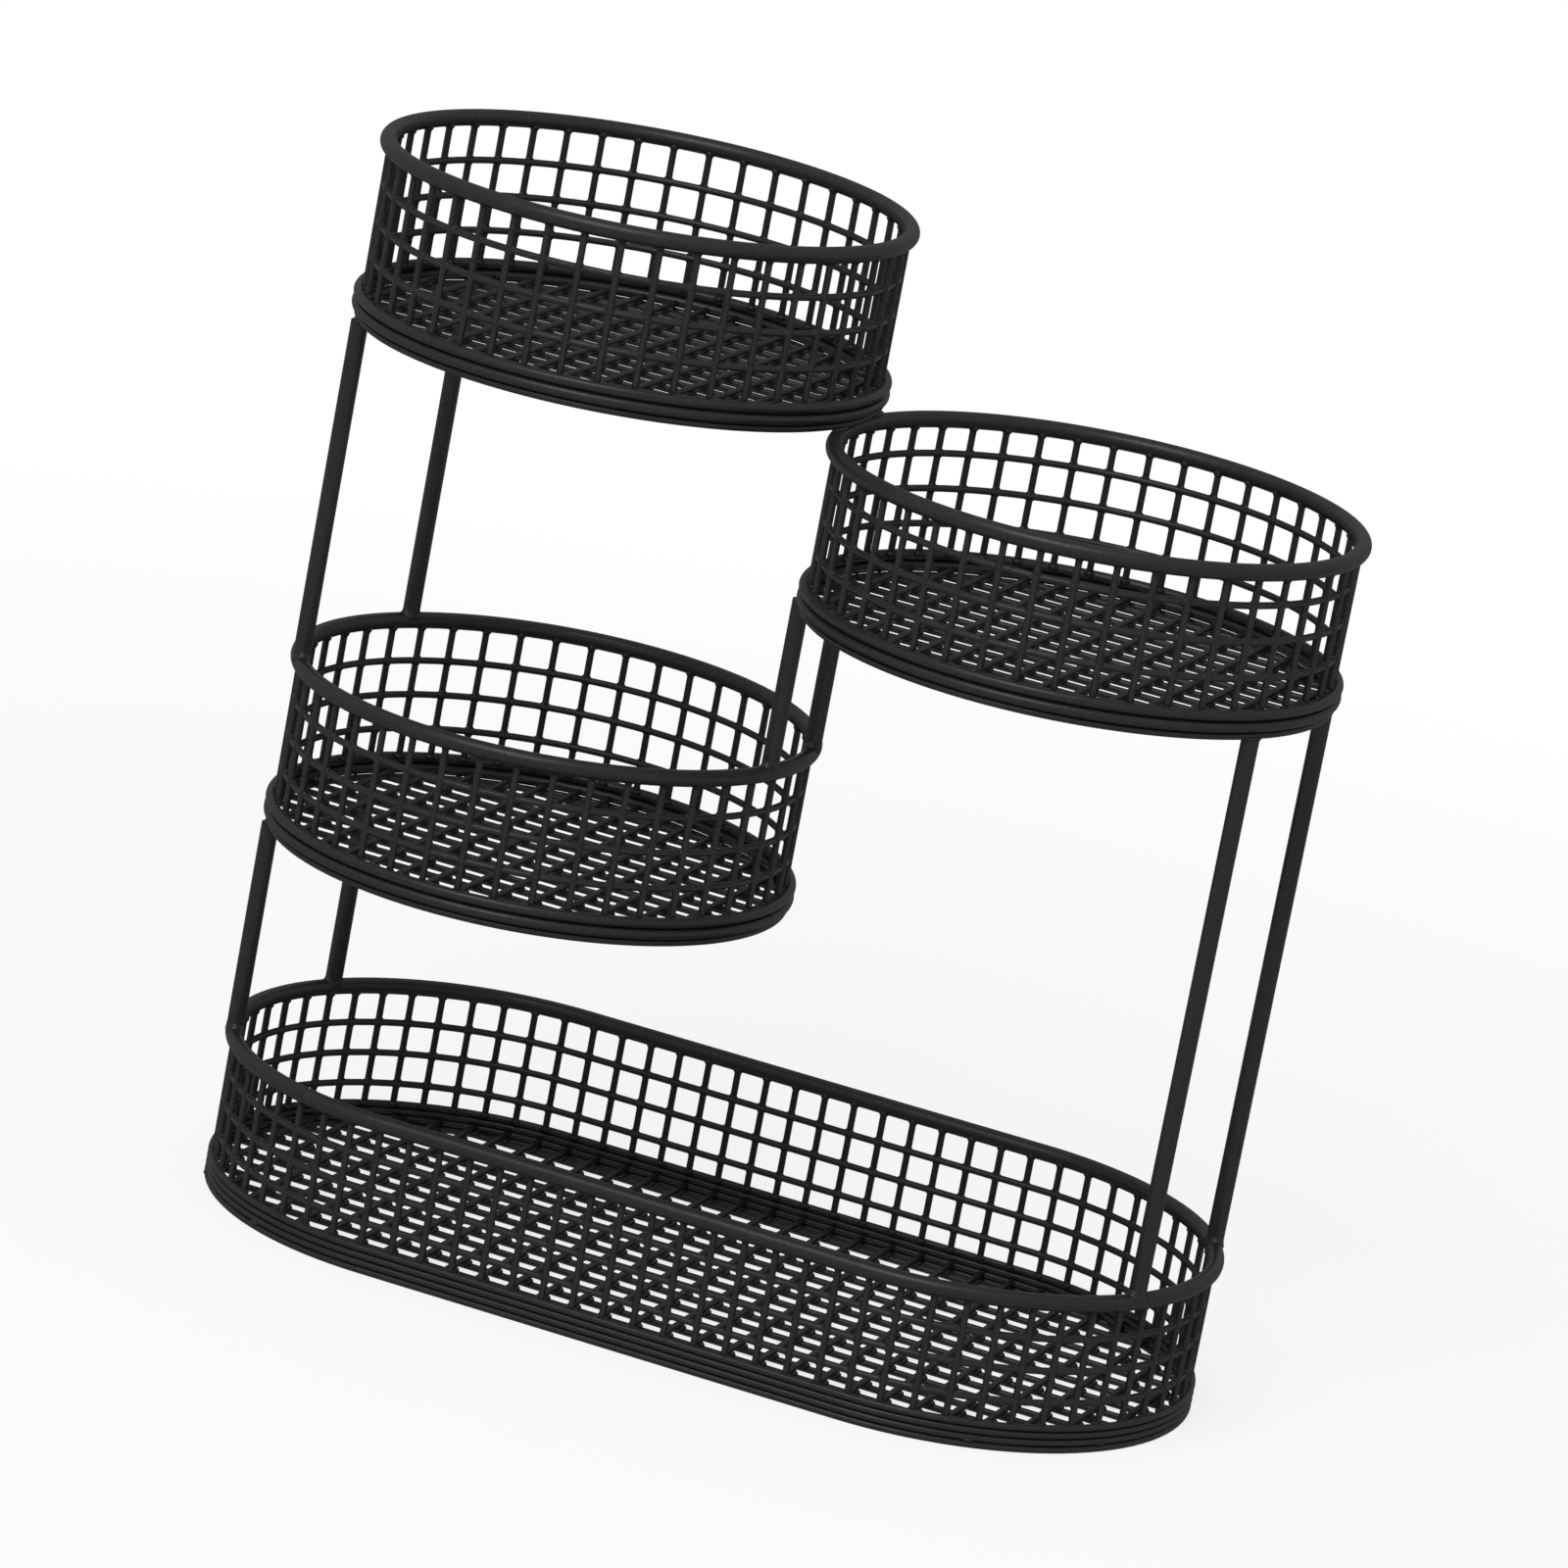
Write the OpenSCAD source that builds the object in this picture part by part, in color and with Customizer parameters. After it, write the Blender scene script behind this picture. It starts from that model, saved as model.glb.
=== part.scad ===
// Iron fruit basket: an oblong base basket carries three round ones on straight welded posts.
// Every basket is a welded mesh wall between a thick rim and a band of stacked rings, over a mesh floor.
// The top basket's inner side rests on the rim of the right basket.

/* [Layout] */
// Radius of every rim's centreline at its rounded ends
rim_r = 97; // [85:0.5:110]
// How far the centreline of each round basket's rim reaches past the middle of the stand
rim_reach = 1.5; // [0.5:0.5:4]
// Height of the middle basket's underside above the table
middle_z = 140.2; // [90:0.1:180]
// Height of the right basket's underside above the table
right_z = 270.5; // [215:0.1:320]

/* [Basket depths] */
// From the base's underside to the centre of its rim
base_depth = 57.3; // [50:0.1:70]
// From the middle basket's underside to the centre of its rim
middle_depth = 64.1; // [56:0.1:75]
// From the right basket's underside to the centre of its rim
right_depth = 61.6; // [56:0.1:75]
// From the top basket's underside to the centre of its rim
top_depth = 65.7; // [56:0.1:75]

/* [Rods and wires] */
// Diameter of the rim rod
rim_d = 6.3; // [4:0.1:8]
// Diameter of the straight posts
post_d = 6.6; // [4:0.1:8]
// Diameter of the mesh wires of the walls and floors
wire_d = 2.6; // [1.8:0.1:3.2]
// Diameter of the four stacked rings round the base
base_ring_d = 2.7; // [2:0.1:3.4]
// Diameter of the lowest ring of a round basket's band
thin_ring_d = 2.7; // [2:0.1:3.4]
// Diameter of the two rings above it
thick_ring_d = 4.2; // [3:0.1:5]

/* [Wall mesh] */
// How far inside the rim's centreline the upright wires stand
upright_inset = 0.9; // [0:0.1:1.5]
// How far inside the uprights' centres the hoops lie, let into them at every weld
hoop_offset = 0.6; // [0.5:0.1:1.6]
// Spacing of the upright wires round the base
base_upright_pitch = 12.2; // [9:0.1:25]
// Spacing of the upright wires in each round wall
round_upright_pitch = 13.7; // [9:0.1:25]
// Height of the lowest hoop above the base's underside
base_first_hoop = 18.4; // [15:0.1:20]
// Height of the lowest hoop above the middle basket's underside
middle_first_hoop = 21.5; // [17:0.1:25]
// Height of the lowest hoop above the right basket's underside
right_first_hoop = 22; // [17:0.1:25]
// Height of the lowest hoop above the top basket's underside
top_first_hoop = 22.7; // [17:0.1:25]
// Spacing of the hoops of the base's wall
base_hoop_pitch = 12.3; // [8:0.1:12.5]
// Spacing of the hoops of a round wall
round_hoop_pitch = 13.5; // [8:0.1:14]

/* [Floor mesh] */
// Spacing of the base's floor wires both ways
base_floor_pitch = 12.4; // [8:0.1:25]
// Spacing of a round basket's floor wires both ways
round_floor_pitch = 12.1; // [8:0.1:25]
// Height of the lower floor wires' centres above the centre of the lowest ring
floor_lift = 0.5; // [0:0.1:1]

/* [Posts] */
// Angle from the basket's outer end round to the lower left posts
left_lower_angle = 27.5; // [20:0.5:40]
// Angle from the basket's outer end round to the upper left posts
left_upper_angle = 31; // [20:0.5:40]
// Angle from the basket's outer end round to the right posts
right_angle = 27; // [20:0.5:40]

/* [Hidden] */
// How far post tops and the top basket sink into what they are welded to
weld = 0.2;
// Gap that the coating fills between rings and wires stacked on each other
touch = 0.05;
// Nearest that the outermost floor wire comes to the band rings beside it
floor_margin = 6;
// Depth of the flat ground under the base's lowest ring, so that it stands steadily
foot_flat = 0.2;
// How far above a rod's centre the saddled foot of what stands on it ends, as a share of the rod's diameter
saddle_share = 0.25;
// Overrun of cutting shapes
over = 1;
// Hoops in every wall
hoops = 3;
// Faces round a wire, and round a whole ring
wire_fn = 24;
ring_fn = 144;

BASE = 0;
MIDDLE = 1;
RIGHT = 2;
TOP = 3;
BASKETS = ["base", "middle", "right", "top"];

// Distance from the middle to each column of baskets, and to the centres of the base's rounded ends
column_x = rim_r - rim_reach;
// The top basket rests on the right basket's rim
top_z = right_z + right_depth + rim_d / 2 - weld;

// Place, height, depth and half length of the straight sides of each basket
basket_x = [0, -column_x, column_x, -column_x];
basket_z = [0, middle_z, right_z, top_z];
basket_depth = [base_depth, middle_depth, right_depth, top_depth];
basket_half = [column_x, 0, 0, 0];
// Where each basket's wall mesh starts and how its floor mesh lies, as shares of the mesh's own spacing
wall_start_shares = [0.06, 0.81, 0.94, 0.06];
floor_place_shares = [[0.47, 0.18], [0.38, 0.16], [0.21, 0.16], [-0.4, 0.01]];
upright_pitch = [base_upright_pitch, round_upright_pitch, round_upright_pitch, round_upright_pitch];
floor_pitch = [base_floor_pitch, round_floor_pitch, round_floor_pitch, round_floor_pitch];
first_hoop = [base_first_hoop, middle_first_hoop, right_first_hoop, top_first_hoop];
hoop_pitch = [base_hoop_pitch, round_hoop_pitch, round_hoop_pitch, round_hoop_pitch];

// Diameters of each basket's band rings, lowest first
round_rings = [thin_ring_d, thick_ring_d, thick_ring_d];
base_rings = [base_ring_d, base_ring_d, base_ring_d, base_ring_d];
basket_rings = [base_rings, round_rings, round_rings, round_rings];

upright_r = rim_r - upright_inset;
hoop_r = upright_r - hoop_offset;
// The uprights stand on the inner shoulder of the top ring of their band
band_inner_r = upright_r;

// Height of a band ring's centre above its basket's underside, counted from 1 at the bottom
function below(d, i) = i < 1 ? 0 : d[i - 1] + touch + below(d, i - 1);
function ring_z(b, i) =
    basket_rings[b][i - 1] / 2 + below(basket_rings[b], i - 1) - (b == BASE ? foot_flat : 0);
function floor_z(b) = ring_z(b, 1) + floor_lift;
function cross_z(b) = floor_z(b) + wire_d + touch;
function upright_foot(b) =
    let (i = len(basket_rings[b]))
    ring_z(b, i) + saddle_share * basket_rings[b][i - 1];
function rim_z(b) = basket_z[b] + basket_depth[b];

// Round rod bent to a circle, or to an oblong with straight sides 2 * half long
module bent_rod(half, r, d) {
    if (half == 0) {
        rotate_extrude($fn = ring_fn) translate([r, 0]) circle(d = d, $fn = wire_fn);
    } else {
        for (side = [-1, 1]) {
            translate([side * half, 0, 0]) rotate([0, 0, side * -90])
                rotate_extrude(angle = 180, $fn = ring_fn) translate([r, 0]) circle(d = d, $fn = wire_fn);
            translate([-half, side * r, 0]) rotate([0, 90, 0]) cylinder(h = 2 * half, d = d, $fn = wire_fn);
        }
    }
}

// Moves a shape to where basket b stands
module at_basket(b) {
    translate([basket_x[b], 0, basket_z[b]]) children();
}

module rim_shape(b) {
    at_basket(b) translate([0, 0, basket_depth[b]]) bent_rod(basket_half[b], rim_r, rim_d);
}

module hoop_shape(b, i) {
    at_basket(b) translate([0, 0, first_hoop[b] + (i - 1) * hoop_pitch[b]])
        bent_rod(basket_half[b], hoop_r, wire_d);
}

module band_ring_shape(b, i) {
    d = basket_rings[b][i - 1];
    at_basket(b) translate([0, 0, ring_z(b, i)]) bent_rod(basket_half[b], band_inner_r + d / 2, d);
}

// Place on an oblong at distance s along it, starting at the middle of the front side
function oblong_at(half, r, s) =
    let (arc = PI * r, t = s - half, u = t - arc, v = u - 2 * half, w = v - arc)
    t < 0 ? [s, -r] :
    u < 0 ? [half + r * sin(180 * t / arc), -r * cos(180 * t / arc)] :
    v < 0 ? [half - u, r] :
    w < 0 ? [-half - r * sin(180 * v / arc), r * cos(180 * v / arc)] :
    [-half + w, -r];

// Upright wires round the wall, let into the rim above them, saddled on the band and notched for the hoops
module uprights(b) {
    half = basket_half[b];
    around = 2 * PI * upright_r + 4 * half;
    count = round(around / upright_pitch[b]);
    color("#26272a") difference() {
        at_basket(b) for (k = [0 : count - 1]) {
            p = oblong_at(half, upright_r, (k + wall_start_shares[b]) * around / count);
            translate([p[0], p[1], upright_foot(b)])
                cylinder(h = basket_depth[b] - upright_foot(b), d = wire_d, $fn = wire_fn);
        }
        rim_shape(b);
        band_ring_shape(b, len(basket_rings[b]));
        for (i = [1 : hoops]) hoop_shape(b, i);
    }
}

module rim(b) {
    color("#232427") rim_shape(b);
}

module hoop(b, i) {
    color("#2a2b2e") hoop_shape(b, i);
}

// Ring of the bottom band; the base stands on its lowest one, which is ground flat underneath
module band_ring(b, i) {
    reach = column_x + rim_r + rim_d;
    color("#202124") difference() {
        band_ring_shape(b, i);
        if (b == BASE && i == 1) translate([-reach, -reach, -over]) cube([2 * reach, 2 * reach, over]);
    }
}

// Places of the floor wires that lie within reach of the basket's middle
function mesh_places(reach, pitch, share) =
    let (most = reach / pitch)
    [for (k = [ceil(-most - share) : floor(most - share)]) (k + share) * pitch];

// Floor wires along the basket, their ends cut to the rings that carry them
module floor_long_wires(b) {
    half = basket_half[b];
    ring_r = band_inner_r + basket_rings[b][0] / 2;
    reach = band_inner_r - floor_margin;
    color("#2d2e31") difference() {
        at_basket(b) for (y = mesh_places(reach, floor_pitch[b], floor_place_shares[b][1])) {
            l = half + sqrt(pow(ring_r, 2) - pow(y, 2));
            translate([-l, y, floor_z(b)]) rotate([0, 90, 0]) cylinder(h = 2 * l, d = wire_d, $fn = wire_fn);
        }
        for (i = [1 : 2]) band_ring_shape(b, i);
    }
}

// Floor wires across the basket, laid over the long ones, their ends cut to the rings at their level
module floor_cross_wires(b) {
    half = basket_half[b];
    ring_r = band_inner_r + basket_rings[b][1] / 2;
    reach = half + band_inner_r - floor_margin;
    color("#2d2e31") difference() {
        at_basket(b) for (x = mesh_places(reach, floor_pitch[b], floor_place_shares[b][0])) {
            end = max(abs(x) - half, 0);
            l = sqrt(pow(ring_r, 2) - pow(end, 2));
            translate([x, -l, cross_z(b)]) rotate([-90, 0, 0]) cylinder(h = 2 * l, d = wire_d, $fn = wire_fn);
        }
        for (i = [2 : 3]) band_ring_shape(b, i);
    }
}

// Straight post from the lower basket's rim, which its foot saddles, to the upper basket's lowest ring
module post(p, lower, upper) {
    foot = rim_z(lower) + saddle_share * rim_d;
    color("#242528") difference() {
        translate([p[0], p[1], foot])
            cylinder(h = basket_z[upper] + weld - foot, d = post_d, $fn = wire_fn * 2);
        rim_shape(lower);
    }
}

// Place of a post on the rim of the basket column at x, at an angle from the outer end
function outer_place(x, angle, side) = [x + sign(x) * rim_r * cos(angle), side * rim_r * sin(angle)];

// Where the middle basket's rim crosses under the outer edge of the right basket's lowest ring
function inner_place(side) =
    let (ring_edge_r = band_inner_r + thin_ring_d)
    let (x = (pow(rim_r, 2) - pow(ring_edge_r, 2)) / (4 * column_x))
    [x, side * sqrt(pow(rim_r, 2) - pow(x + column_x, 2))];

module left_lower_post(side) {
    post(outer_place(-column_x, left_lower_angle, side), BASE, MIDDLE);
}

module left_upper_post(side) {
    post(outer_place(-column_x, left_upper_angle, side), MIDDLE, TOP);
}

module right_post(side) {
    post(outer_place(column_x, right_angle, side), BASE, RIGHT);
}

module inner_post(side) {
    post(inner_place(side), MIDDLE, RIGHT);
}

for (b = [BASE : TOP]) {
    rim(b);
    uprights(b);
    for (i = [1 : hoops])
        hoop(b, i);
    for (i = [1 : len(basket_rings[b])])
        band_ring(b, i);
    floor_long_wires(b);
    floor_cross_wires(b);
}
left_lower_post(-1);  // left_lower_front_post
left_lower_post(1);  // left_lower_back_post
left_upper_post(-1);  // left_upper_front_post
left_upper_post(1);  // left_upper_back_post
right_post(-1);  // right_front_post
right_post(1);  // right_back_post
inner_post(-1);  // inner_front_post
inner_post(1);  // inner_back_post
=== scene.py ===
import math

import bmesh
import bpy
from mathutils import Matrix, Vector


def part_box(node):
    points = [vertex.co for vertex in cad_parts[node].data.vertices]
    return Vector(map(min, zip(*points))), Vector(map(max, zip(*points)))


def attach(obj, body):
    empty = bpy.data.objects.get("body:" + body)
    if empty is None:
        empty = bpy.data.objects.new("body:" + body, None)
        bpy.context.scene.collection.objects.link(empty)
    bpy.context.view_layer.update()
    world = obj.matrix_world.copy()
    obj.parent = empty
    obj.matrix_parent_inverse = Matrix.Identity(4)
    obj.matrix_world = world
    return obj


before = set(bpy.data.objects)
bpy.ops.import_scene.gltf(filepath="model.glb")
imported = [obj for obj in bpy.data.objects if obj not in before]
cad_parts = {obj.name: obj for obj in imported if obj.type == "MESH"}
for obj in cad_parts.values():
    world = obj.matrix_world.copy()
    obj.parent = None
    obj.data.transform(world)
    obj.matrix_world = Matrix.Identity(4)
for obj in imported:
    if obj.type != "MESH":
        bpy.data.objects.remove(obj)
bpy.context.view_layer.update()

# The photograph's viewpoint: a long lens from the front, a little to the right and above the rims,
# tipped so that the stand leans to the right in the picture.
CAMERA_AIM = Vector((-0.0012, -0.0015, 0.1963))
CAMERA_DISTANCE = 3.160
CAMERA_AZIMUTH = math.radians(18.93)
CAMERA_ELEVATION = math.radians(14.66)
CAMERA_ROLL = math.radians(10.76)
LENS_MM = 197.3
SENSOR_MM = 36.0
camera_lens = bpy.data.cameras.new("camera")
camera_lens.lens = LENS_MM
camera_lens.sensor_width = SENSOR_MM
camera = bpy.data.objects.new("camera", camera_lens)
look = Matrix.Rotation(CAMERA_AZIMUTH, 4, "Z") @ Matrix.Rotation(math.pi / 2 - CAMERA_ELEVATION, 4, "X")
roll = Matrix.Rotation(CAMERA_ROLL, 4, "Z")
back_off = Matrix.Translation((0, 0, CAMERA_DISTANCE))
camera.matrix_world = Matrix.Translation(CAMERA_AIM) @ look @ roll @ back_off
bpy.context.scene.collection.objects.link(camera)
bpy.context.scene.camera = camera
bpy.context.scene.view_settings.view_transform = "Standard"

# A plain studio: an even white surround and one broad soft lamp high in front and a little to the left,
# over a pale floor that keeps the stand's own soft shadow.
SURROUND_LIGHT = 0.50
SURROUND_SHOWN = 1.0
FLOOR_SIZE = 14.0
FLOOR_SHOWN = (0.94, 0.94, 0.94, 1.0)
FLOOR_BOUNCE = (0.35, 0.35, 0.35, 1.0)
FLOOR_GLOW_SHARE = 0.80
SHADOW_REACH = (0.45, 1.30)
LAMP_PLACE = Vector((-0.15, -1.90, 2.45))
LAMP_SIZE = 1.5
LAMP_POWER = 46.0


def wire_up(tree, source, target):
    tree.links.new(source, target)


def shown_rays(tree):
    """1 for a ray that shows the background itself: seen by the camera, in a gloss or through glass."""
    path = tree.nodes.new("ShaderNodeLightPath")
    shown = path.outputs["Is Camera Ray"]
    for kind in ("Is Glossy Ray", "Is Transmission Ray"):
        either = tree.nodes.new("ShaderNodeMath")
        either.operation = "MAXIMUM"
        wire_up(tree, shown, either.inputs[0])
        wire_up(tree, path.outputs[kind], either.inputs[1])
        shown = either.outputs[0]
    return shown


world = bpy.data.worlds.new("studio_surround")
bpy.context.scene.world = world
world.use_nodes = True
tree = world.node_tree
tree.nodes.clear()
lit = tree.nodes.new("ShaderNodeBackground")
lit.inputs["Strength"].default_value = SURROUND_LIGHT
lit.inputs["Color"].default_value = (1.0, 1.0, 1.0, 1.0)
shown = tree.nodes.new("ShaderNodeBackground")
shown.inputs["Strength"].default_value = SURROUND_SHOWN
shown.inputs["Color"].default_value = (1.0, 1.0, 1.0, 1.0)
pick = tree.nodes.new("ShaderNodeMixShader")
world_out = tree.nodes.new("ShaderNodeOutputWorld")
wire_up(tree, shown_rays(tree), pick.inputs[0])
wire_up(tree, lit.outputs[0], pick.inputs[1])
wire_up(tree, shown.outputs[0], pick.inputs[2])
wire_up(tree, pick.outputs[0], world_out.inputs["Surface"])

floor_coat = bpy.data.materials.new("studio_floor")
floor_coat.use_nodes = True
tree = floor_coat.node_tree
tree.nodes.clear()
floor_seen = tree.nodes.new("ShaderNodeBsdfDiffuse")
floor_seen.inputs["Color"].default_value = FLOOR_SHOWN
floor_far = tree.nodes.new("ShaderNodeEmission")
floor_far.inputs["Strength"].default_value = SURROUND_SHOWN
floor_dull = tree.nodes.new("ShaderNodeBsdfDiffuse")
floor_dull.inputs["Color"].default_value = FLOOR_BOUNCE
where = tree.nodes.new("ShaderNodeTexCoord")
away = tree.nodes.new("ShaderNodeVectorMath")
away.operation = "LENGTH"
fade = tree.nodes.new("ShaderNodeMapRange")
fade.interpolation_type = "SMOOTHSTEP"
fade.inputs["From Min"].default_value = SHADOW_REACH[0]
fade.inputs["From Max"].default_value = SHADOW_REACH[1]
fade.inputs["To Min"].default_value = FLOOR_GLOW_SHARE
near_or_far = tree.nodes.new("ShaderNodeMixShader")
seen_or_dull = tree.nodes.new("ShaderNodeMixShader")
floor_out = tree.nodes.new("ShaderNodeOutputMaterial")
wire_up(tree, where.outputs["Object"], away.inputs[0])
wire_up(tree, away.outputs["Value"], fade.inputs["Value"])
wire_up(tree, fade.outputs["Result"], near_or_far.inputs[0])
wire_up(tree, floor_seen.outputs[0], near_or_far.inputs[1])
wire_up(tree, floor_far.outputs[0], near_or_far.inputs[2])
wire_up(tree, shown_rays(tree), seen_or_dull.inputs[0])
wire_up(tree, floor_dull.outputs[0], seen_or_dull.inputs[1])
wire_up(tree, near_or_far.outputs[0], seen_or_dull.inputs[2])
wire_up(tree, seen_or_dull.outputs[0], floor_out.inputs["Surface"])

floor_shape = bmesh.new()
bmesh.ops.create_grid(floor_shape, x_segments=1, y_segments=1, size=FLOOR_SIZE / 2)
floor_mesh = bpy.data.meshes.new("studio_floor")
floor_shape.to_mesh(floor_mesh)
floor_shape.free()
floor_mesh.materials.append(floor_coat)
studio_floor = bpy.data.objects.new("studio_floor", floor_mesh)
bpy.context.scene.collection.objects.link(studio_floor)

light = bpy.data.lights.new("broad_lamp", "AREA")
light.shape = "SQUARE"
light.size = LAMP_SIZE
light.energy = LAMP_POWER
lamp = bpy.data.objects.new("broad_lamp", light)
lamp.location = LAMP_PLACE
lamp.rotation_euler = (CAMERA_AIM - LAMP_PLACE).to_track_quat("-Z", "Y").to_euler()
bpy.context.scene.collection.objects.link(lamp)

# The four rims: round rod bent to each basket's outline, its ends butt welded and ground flush.
# The black powder coat lies thickest here, with a soft orange peel that is wider than the wire's.
BASKETS = ("base", "middle", "right", "top")
COAT_BLACK = (0.0165, 0.0165, 0.0170, 1.0)
COAT_IOR = 2.0
COAT_ROUGHNESS = 0.35
PEEL_DETAIL = 2.0
GRAIN_DETAIL = 3.0
NOISE_MIDDLE = 0.5


def group_socket(group, name, kind, way, value=None):
    socket = group.interface.new_socket(name=name, in_out=way, socket_type=kind)
    if value is not None:
        socket.default_value = value


def coat_group():
    """The powder coat's surface: slow orange peel, fine grain, and a gloss that the peel breaks up."""
    group = bpy.data.node_groups.new("powder_coat_surface", "ShaderNodeTree")
    group_socket(group, "Colour", "NodeSocketColor", "INPUT", COAT_BLACK)
    group_socket(group, "Colour Change", "NodeSocketFloat", "INPUT", 0.25)
    group_socket(group, "Roughness", "NodeSocketFloat", "INPUT", 0.5)
    group_socket(group, "Roughness Change", "NodeSocketFloat", "INPUT", 0.1)
    group_socket(group, "Peel Size", "NodeSocketFloat", "INPUT", 0.0018)
    group_socket(group, "Peel Depth", "NodeSocketFloat", "INPUT", 0.00003)
    group_socket(group, "Grain Size", "NodeSocketFloat", "INPUT", 0.0003)
    group_socket(group, "Grain Depth", "NodeSocketFloat", "INPUT", 0.000008)
    group_socket(group, "Gloss", "NodeSocketFloat", "INPUT", 0.145)
    group_socket(group, "Gloss Change", "NodeSocketFloat", "INPUT", 0.9)
    group_socket(group, "Mottle Size", "NodeSocketFloat", "INPUT", 0.0014)
    group_socket(group, "Colour", "NodeSocketColor", "OUTPUT")
    group_socket(group, "Roughness", "NodeSocketFloat", "OUTPUT")
    group_socket(group, "Gloss", "NodeSocketFloat", "OUTPUT")
    group_socket(group, "Normal", "NodeSocketVector", "OUTPUT")
    nodes = group.nodes
    given = nodes.new("NodeGroupInput")
    result = nodes.new("NodeGroupOutput")
    place = nodes.new("ShaderNodeTexCoord")

    def noise(size_name, detail):
        per_metre = nodes.new("ShaderNodeMath")
        per_metre.operation = "DIVIDE"
        per_metre.inputs[0].default_value = 1.0
        wire_up(group, given.outputs[size_name], per_metre.inputs[1])
        texture = nodes.new("ShaderNodeTexNoise")
        texture.inputs["Detail"].default_value = detail
        wire_up(group, place.outputs["Object"], texture.inputs["Vector"])
        wire_up(group, per_metre.outputs[0], texture.inputs["Scale"])
        return texture.outputs["Fac"]

    def combine(operation, first, second):
        node = nodes.new("ShaderNodeMath")
        node.operation = operation
        for slot, value in zip(node.inputs, (first, second)):
            if isinstance(value, (int, float)):
                slot.default_value = value
            else:
                wire_up(group, value, slot)
        return node.outputs[0]

    peel = noise("Peel Size", PEEL_DETAIL)
    grain = noise("Grain Size", GRAIN_DETAIL)
    deep_peel = combine("MULTIPLY", peel, given.outputs["Peel Depth"])
    deep_grain = combine("MULTIPLY", grain, given.outputs["Grain Depth"])
    height = combine("ADD", deep_peel, deep_grain)
    bump = nodes.new("ShaderNodeBump")
    bump.inputs["Distance"].default_value = 1.0
    bump.inputs["Strength"].default_value = 1.0
    wire_up(group, height, bump.inputs["Height"])
    wire_up(group, bump.outputs["Normal"], result.inputs["Normal"])

    grain_lean = combine("SUBTRACT", grain, NOISE_MIDDLE)
    peel_lean = combine("SUBTRACT", peel, NOISE_MIDDLE)
    lean = combine("ADD", grain_lean, peel_lean)
    rough_change = combine("MULTIPLY", lean, given.outputs["Roughness Change"])
    rough = combine("ADD", given.outputs["Roughness"], rough_change)
    wire_up(group, rough, result.inputs["Roughness"])

    mottle_lean = combine("SUBTRACT", noise("Mottle Size", PEEL_DETAIL), NOISE_MIDDLE)
    gloss_change = combine("MULTIPLY", mottle_lean, given.outputs["Gloss Change"])
    gloss_share = combine("ADD", gloss_change, 1.0)
    gloss = combine("MULTIPLY", gloss_share, given.outputs["Gloss"])
    wire_up(group, gloss, result.inputs["Gloss"])

    tone_change = combine("MULTIPLY", lean, given.outputs["Colour Change"])
    tone = combine("ADD", tone_change, 1.0)
    toned = nodes.new("ShaderNodeVectorMath")
    toned.operation = "SCALE"
    wire_up(group, given.outputs["Colour"], toned.inputs[0])
    wire_up(group, tone, toned.inputs["Scale"])
    wire_up(group, toned.outputs[0], result.inputs["Colour"])
    return group


powder_surface = coat_group()


def powder_coat(name, **values):
    """A finish: a dull black body under a thin film, whose gloss comes from the shared surface."""
    finish = bpy.data.materials.new(name)
    finish.use_nodes = True
    tree = finish.node_tree
    shader = tree.nodes["Principled BSDF"]
    shader.inputs["Specular IOR Level"].default_value = 0.0
    shader.inputs["Metallic"].default_value = 0.0
    shader.inputs["Coat IOR"].default_value = COAT_IOR
    shader.inputs["Coat Roughness"].default_value = COAT_ROUGHNESS
    surface = tree.nodes.new("ShaderNodeGroup")
    surface.node_tree = powder_surface
    for socket, value in values.items():
        surface.inputs[socket.replace("_", " ").title()].default_value = value
    wire_up(tree, surface.outputs["Colour"], shader.inputs["Base Color"])
    wire_up(tree, surface.outputs["Roughness"], shader.inputs["Roughness"])
    wire_up(tree, surface.outputs["Gloss"], shader.inputs["Coat Weight"])
    wire_up(tree, surface.outputs["Normal"], shader.inputs["Normal"])
    return finish


def coat_node(node, finish):
    """Gives a construction node its finish, and leaves its mesh as it is."""
    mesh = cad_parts[node].data
    mesh.materials.clear()
    mesh.materials.append(finish)


rim_coat = powder_coat("rim_coat", roughness=0.71, peel_size=0.0030, peel_depth=0.00004)
for basket in BASKETS:
    coat_node(basket + "_rim", rim_coat)

# The wall mesh: upright wires let into the rim above, and three hoops of the same wire welded inside
# them. It is drawn wire under the same coat, with a finer peel than the thick rods have.
HOOPS = (1, 2, 3)
wire_coat = powder_coat("wire_coat", roughness=0.75, peel_size=0.0014, peel_depth=0.00002)
for basket in BASKETS:
    coat_node(basket + "_uprights", wire_coat)
    for number in HOOPS:
        coat_node(f"{basket}_hoop_{number}", wire_coat)

# The welds of the wall mesh: every crossing of a hoop and an upright is resistance welded, then coated.
# Weld and coat fill the four corners of the crossing, so every window in the wall has round corners.
WIRE_SPREAD = 0.0035
FOOT_SLICE = 0.0015
WEB_REACH = 0.00262
WEB_CORNER_SHARE = 0.85
WEB_THICKNESS = 0.0017
WEB_EDGE_SHARE = 0.75
WEB_SIDES = 16
WEB_MATCH = WEB_REACH / 100
POLE_MERGE = 0.00001


def ring_of(node):
    """A ring's middle x, straight half length, centreline radius, rod diameter and height."""
    low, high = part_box(node)
    rod = high.z - low.z
    radius = (high.y - low.y) / 2
    half = (high.x - low.x) / 2 - radius
    straight = half if half > rod else 0.0
    return (low.x + high.x) / 2, straight, radius - rod / 2, rod, (low.z + high.z) / 2


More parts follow.
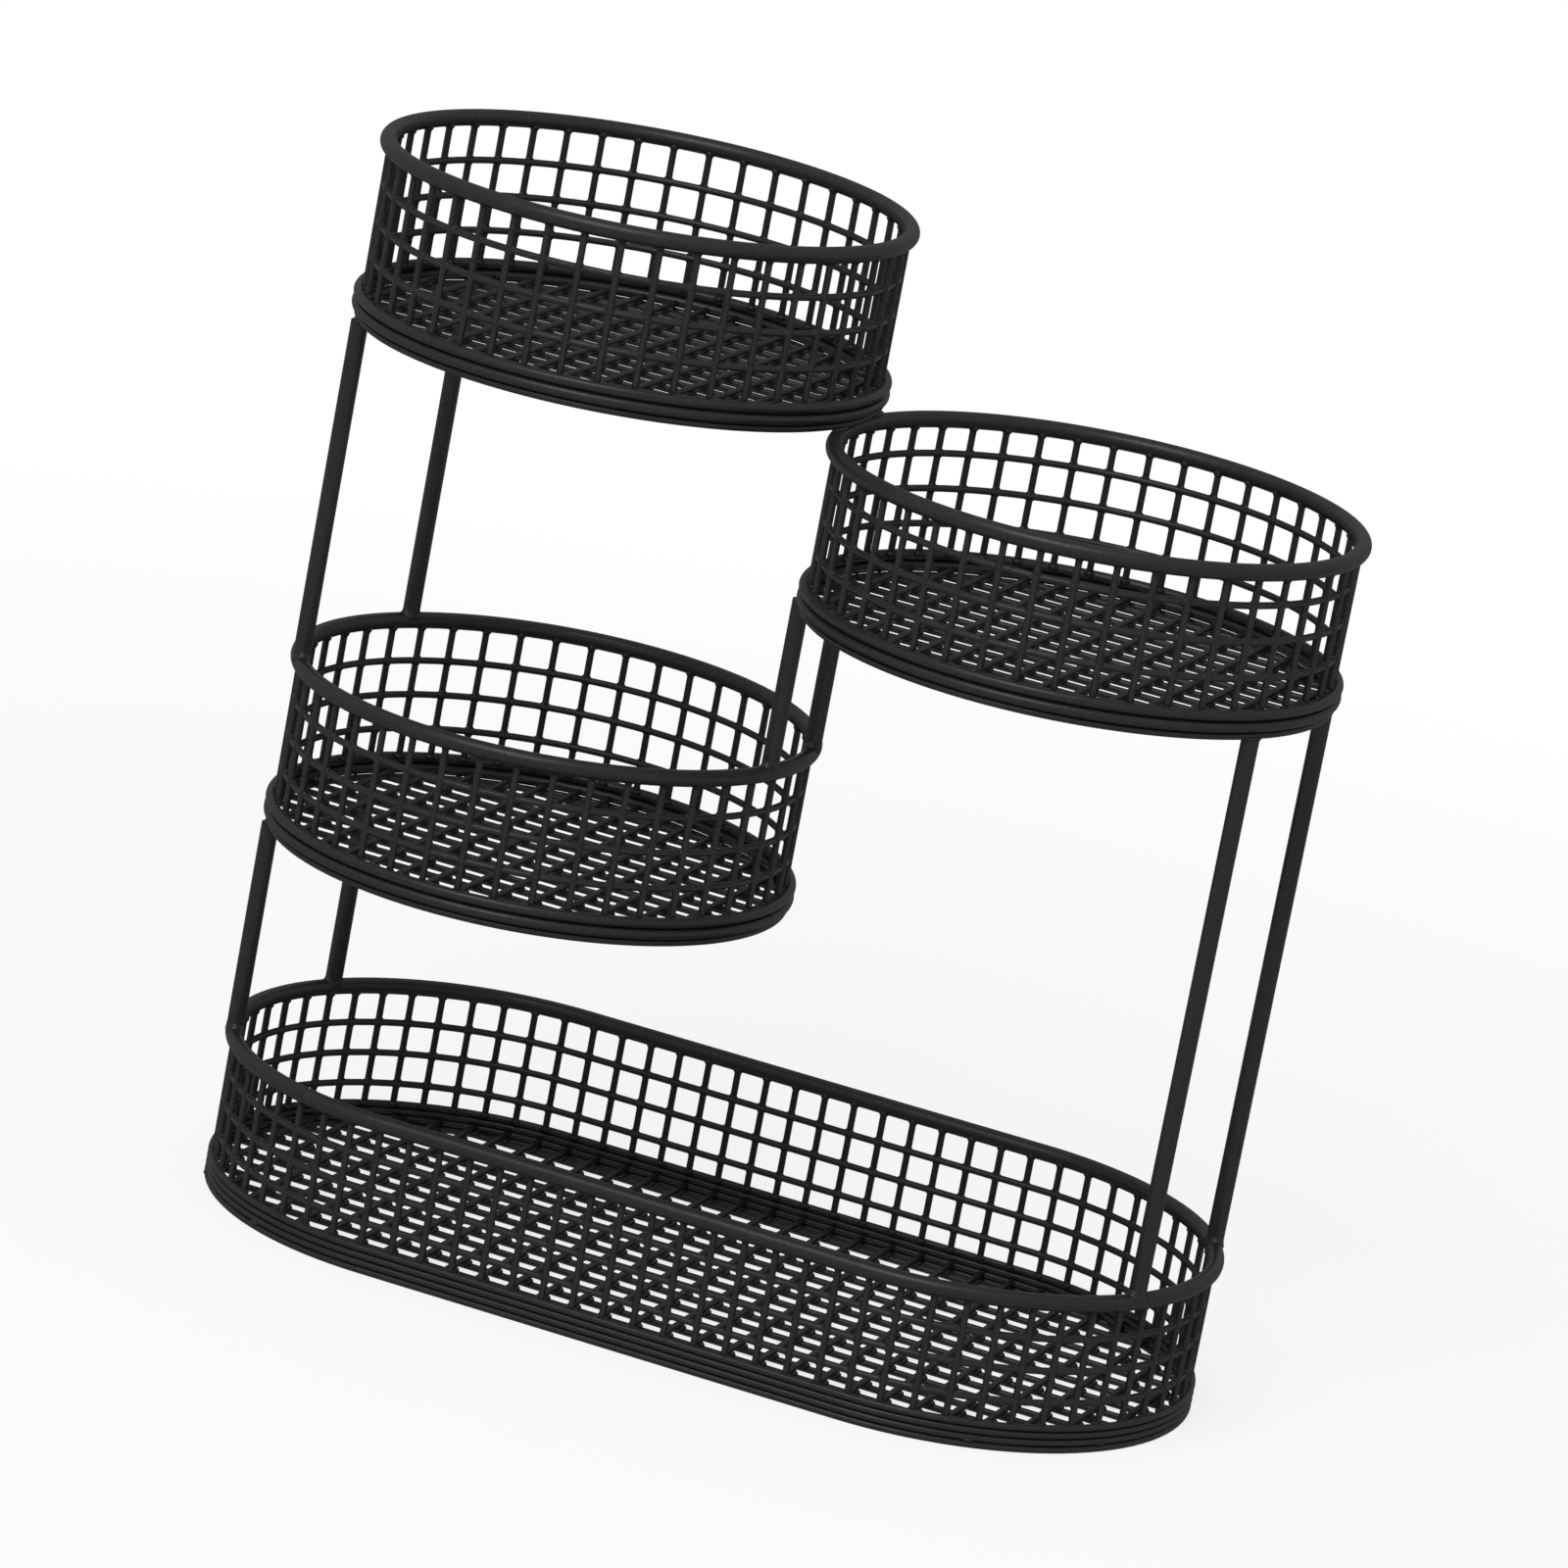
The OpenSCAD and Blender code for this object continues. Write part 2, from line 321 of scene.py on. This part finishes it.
def wire_feet(node):
    """Level place of the middle of every upright wire of a node, found from the wires' feet."""
    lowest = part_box(node)[0].z
    groups = []
    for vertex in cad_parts[node].data.vertices:
        if vertex.co.z > lowest + FOOT_SLICE:
            continue
        foot = vertex.co.xy
        near = [group for group in groups if (group[0] - foot).length < WIRE_SPREAD]
        if near:
            near[0].append(foot)
        else:
            groups.append([foot])
    places = []
    for group in groups:
        xs = [foot.x for foot in group]
        ys = [foot.y for foot in group]
        places.append(((min(xs) + max(xs)) / 2, (min(ys) + max(ys)) / 2))
    return places


def on_wall(place, ring, radius, height):
    """Matrix on the wall beside a place: its x runs along the wall, its y points out, its z up."""
    middle_x, half = ring[:2]
    core_x = middle_x + max(-half, min(half, place[0] - middle_x))
    out = Vector((place[0] - core_x, place[1])).normalized()
    return Matrix((
        (-out.y, out.x, 0, core_x + out.x * radius),
        (out.x, out.y, 0, out.y * radius),
        (0, 0, 1, height),
        (0, 0, 0, 1),
    ))


def turned(profile, sides):
    """A closed turned shape: a profile of radii and heights, spun once round and closed at its poles."""
    shape = bmesh.new()
    heights = [height for radius, height in profile]
    corners = [(0.0, heights[0]), *profile, (0.0, heights[-1])]
    line = [shape.verts.new((radius, 0.0, height)) for radius, height in corners]
    line += [shape.edges.new(pair) for pair in zip(line, line[1:])]
    bmesh.ops.spin(
        shape, geom=line, cent=(0, 0, 0), axis=(0, 0, 1), angle=math.tau, steps=sides, use_merge=True
    )
    bmesh.ops.remove_doubles(shape, verts=shape.verts, dist=POLE_MERGE)
    bmesh.ops.recalc_face_normals(shape, faces=shape.faces)
    return shape


def welded(shape, name, places, finish):
    """One piece with a copy of a small shape at every place; it rides with the stand."""
    single = bpy.data.meshes.new(name + "_single")
    shape.to_mesh(single)
    shape.free()
    whole = bmesh.new()
    for place in places:
        start = len(whole.verts)
        whole.from_mesh(single)
        whole.verts.ensure_lookup_table()
        bmesh.ops.transform(whole, matrix=place, verts=whole.verts[start:])
    mesh = bpy.data.meshes.new(name)
    whole.to_mesh(mesh)
    whole.free()
    bpy.data.meshes.remove(single)
    mesh.materials.append(finish)
    for face in mesh.polygons:
        face.use_smooth = True
    piece = bpy.data.objects.new(name, mesh)
    bpy.context.scene.collection.objects.link(piece)
    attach(piece, "root")


def corner_web():
    """The filled corners of one crossing: a small plate, drawn in between its corners."""
    edge = WEB_REACH * WEB_EDGE_SHARE
    web = turned(((edge, -WEB_THICKNESS / 2), (WEB_REACH, 0.0), (edge, WEB_THICKNESS / 2)), WEB_SIDES)
    between = [v for v in web.verts if abs(abs(v.co.x) - abs(v.co.y)) < WEB_MATCH]
    bmesh.ops.scale(web, vec=(WEB_CORNER_SHARE, WEB_CORNER_SHARE, 1), verts=between)
    bmesh.ops.rotate(web, cent=(0, 0, 0), matrix=Matrix.Rotation(math.pi / 2, 3, "X"), verts=web.verts)
    return web


weld_coat = powder_coat("weld_coat", roughness=0.70, peel_size=0.0010, peel_depth=0.00003)
feet_of = {basket: wire_feet(basket + "_uprights") for basket in BASKETS}
for basket in BASKETS:
    places = []
    low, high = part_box(basket + "_uprights")
    for number in HOOPS:
        hoop = ring_of(f"{basket}_hoop_{number}")
        wall_r = (high.y - low.y - hoop[3]) / 2
        for foot in feet_of[basket]:
            places.append(on_wall(foot, hoop, (wall_r + hoop[2]) / 2, hoop[4]))
    welded(corner_web(), basket + "_wall_welds", places, weld_coat)

# The welds under the rim: the head of every upright is let into the rod from below and welded round.
# Each leaves a small flared collar that the coat has smoothed over.
COLLAR_PROFILE = ((0.00126, -0.0041), (0.00150, -0.0035), (0.00195, -0.0029), (0.00195, -0.0013))
COLLAR_SIDES = 12
for basket in BASKETS:
    rim = ring_of(basket + "_rim")
    low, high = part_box(basket + "_uprights")
    wall_r = (high.y - low.y) / 2 - COLLAR_PROFILE[0][0]
    places = [on_wall(foot, rim, wall_r, rim[4]) for foot in feet_of[basket]]
    welded(turned(COLLAR_PROFILE, COLLAR_SIDES), basket + "_rim_welds", places, weld_coat)

# The bottom bands: four thin rings stacked round the base, and one thin ring under two thick ones on each
# round basket. The uprights stand on the inner shoulder of the top ring, each in a small bead of weld.
BAND_RINGS = {"base": 4, "middle": 3, "right": 3, "top": 3}
BAND_BEAD = (0.0020, 0.0016, 0.0012)
BEAD_SIDES = 8
BEAD_RINGS = 6
band_coat = powder_coat("band_coat", roughness=0.72, peel_size=0.0024, peel_depth=0.00004)


def bead(size, sides, rings):
    """A weld bead: a ball pressed to its half sizes."""
    shape = bmesh.new()
    bmesh.ops.create_uvsphere(shape, u_segments=sides, v_segments=rings, radius=1.0)
    bmesh.ops.scale(shape, vec=size, verts=shape.verts)
    return shape


for basket in BASKETS:
    for number in range(1, BAND_RINGS[basket] + 1):
        coat_node(f"{basket}_band_ring_{number}", band_coat)
    ring = ring_of(f"{basket}_band_ring_{BAND_RINGS[basket]}")
    inner_r = ring[2] - ring[3] / 2
    places = [on_wall(foot, ring, inner_r, ring[4] + ring[3] / 4) for foot in feet_of[basket]]
    welded(bead(BAND_BEAD, BEAD_SIDES, BEAD_RINGS), basket + "_band_welds", places, weld_coat)

# The floors: a welded mesh of straight wires, the long ones below and the cross ones laid over them.
# Every crossing is pressed and welded, which leaves a flat bead of metal and coat between the wires.
# The beads of the base are fuller, and round off the corners of its gaps.
FLOOR_BEAD = (0.0020, 0.0020, 0.0011)
BASE_FLOOR_BEAD = (0.0028, 0.0028, 0.0012)
floor_wire_coat = powder_coat("floor_wire_coat", roughness=0.77, peel_size=0.0014, peel_depth=0.00002)


def floor_lines(node, across, along):
    """Middle, lower end and upper end of every straight wire of a node, in order across the floor."""
    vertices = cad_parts[node].data.vertices
    points = sorted((vertex.co[across], vertex.co[along]) for vertex in vertices)
    groups = [[points[0]]]
    for point in points[1:]:
        if point[0] - groups[-1][-1][0] < WIRE_SPREAD:
            groups[-1].append(point)
        else:
            groups.append([point])
    lines = []
    for group in groups:
        ends = [point[1] for point in group]
        lines.append(((group[0][0] + group[-1][0]) / 2, min(ends), max(ends)))
    return lines


for basket in BASKETS:
    long_node = basket + "_floor_long_wires"
    cross_node = basket + "_floor_cross_wires"
    coat_node(long_node, floor_wire_coat)
    coat_node(cross_node, floor_wire_coat)
    height = (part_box(long_node)[1].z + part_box(cross_node)[0].z) / 2
    places = []
    for y, low_x, high_x in floor_lines(long_node, 1, 0):
        for x, low_y, high_y in floor_lines(cross_node, 0, 1):
            if low_x < x < high_x and low_y < y < high_y:
                places.append(Matrix.Translation((x, y, height)))
    size = BASE_FLOOR_BEAD if basket == "base" else FLOOR_BEAD
    welded(bead(size, BEAD_SIDES, BEAD_RINGS), basket + "_floor_welds", places, weld_coat)

# The posts: straight round rods whose feet saddle a rim and whose heads carry the lowest ring of the next
# basket. Each foot has a smooth fillet of weld drawn out along the rim, and each head a low bead.
POSTS = {
    "left_lower_front_post": ("base", "middle"),
    "left_lower_back_post": ("base", "middle"),
    "left_upper_front_post": ("middle", "top"),
    "left_upper_back_post": ("middle", "top"),
    "right_front_post": ("base", "right"),
    "right_back_post": ("base", "right"),
    "inner_front_post": ("middle", "right"),
    "inner_back_post": ("middle", "right"),
}
FILLET_PROFILE = (
    (0.0043, -0.0006), (0.0044, 0.0), (0.0038, 0.0004), (0.0035, 0.0010), (0.00328, 0.0018),
)
FILLET_SIDES = 48
FILLET_HALF_WIDTH = 0.00338
DRAPE_SHARE = 0.85
HEAD_BEAD = (0.0046, 0.0021, 0.0012)
HEAD_SIDES = 24
HEAD_RINGS = 8
post_coat = powder_coat("post_coat", roughness=0.69, peel_size=0.0032, peel_depth=0.00004)


def foot_fillet(rod):
    """The fillet round a post's foot, draped over the top of the rim that it stands on."""
    shape = turned(FILLET_PROFILE, FILLET_SIDES)
    radius = rod / 2
    for vertex in shape.verts:
        side = max(-FILLET_HALF_WIDTH, min(FILLET_HALF_WIDTH, vertex.co.y))
        draped = min(abs(side), radius * DRAPE_SHARE)
        vertex.co.y = side
        vertex.co.z -= radius - math.sqrt(radius * radius - draped * draped)
    return shape


for post, (lower, upper) in POSTS.items():
    coat_node(post, post_coat)
    low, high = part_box(post)
    place = ((low.x + high.x) / 2, (low.y + high.y) / 2)
    rim = ring_of(lower + "_rim")
    foot = on_wall(place, rim, rim[2], rim[4] + rim[3] / 2)
    welded(foot_fillet(rim[3]), post + "_foot_weld", [foot], weld_coat)
    ring = ring_of(upper + "_band_ring_1")
    head = on_wall(place, ring, ring[2], high.z)
    welded(bead(HEAD_BEAD, HEAD_SIDES, HEAD_RINGS), post + "_head_weld", [head], weld_coat)

# The top basket's inner side rests on the right basket's rim: its lowest ring crosses the rod at a flat
# angle in two places, and a long low bead of weld lies in each crossing.
CROSSING_BEAD = (0.0021, 0.0070, 0.0011)
ring = ring_of("top_band_ring_1")
rim = ring_of("right_rim")
span = rim[0] - ring[0]
from_ring = (span * span + ring[2] * ring[2] - rim[2] * rim[2]) / (2 * span)
aside = math.sqrt(ring[2] * ring[2] - from_ring * from_ring)
height = rim[4] + rim[3] / 2
places = [Matrix.Translation((ring[0] + from_ring, side * aside, height)) for side in (-1, 1)]
welded(bead(CROSSING_BEAD, HEAD_SIDES, HEAD_RINGS), "top_basket_seat_welds", places, weld_coat)
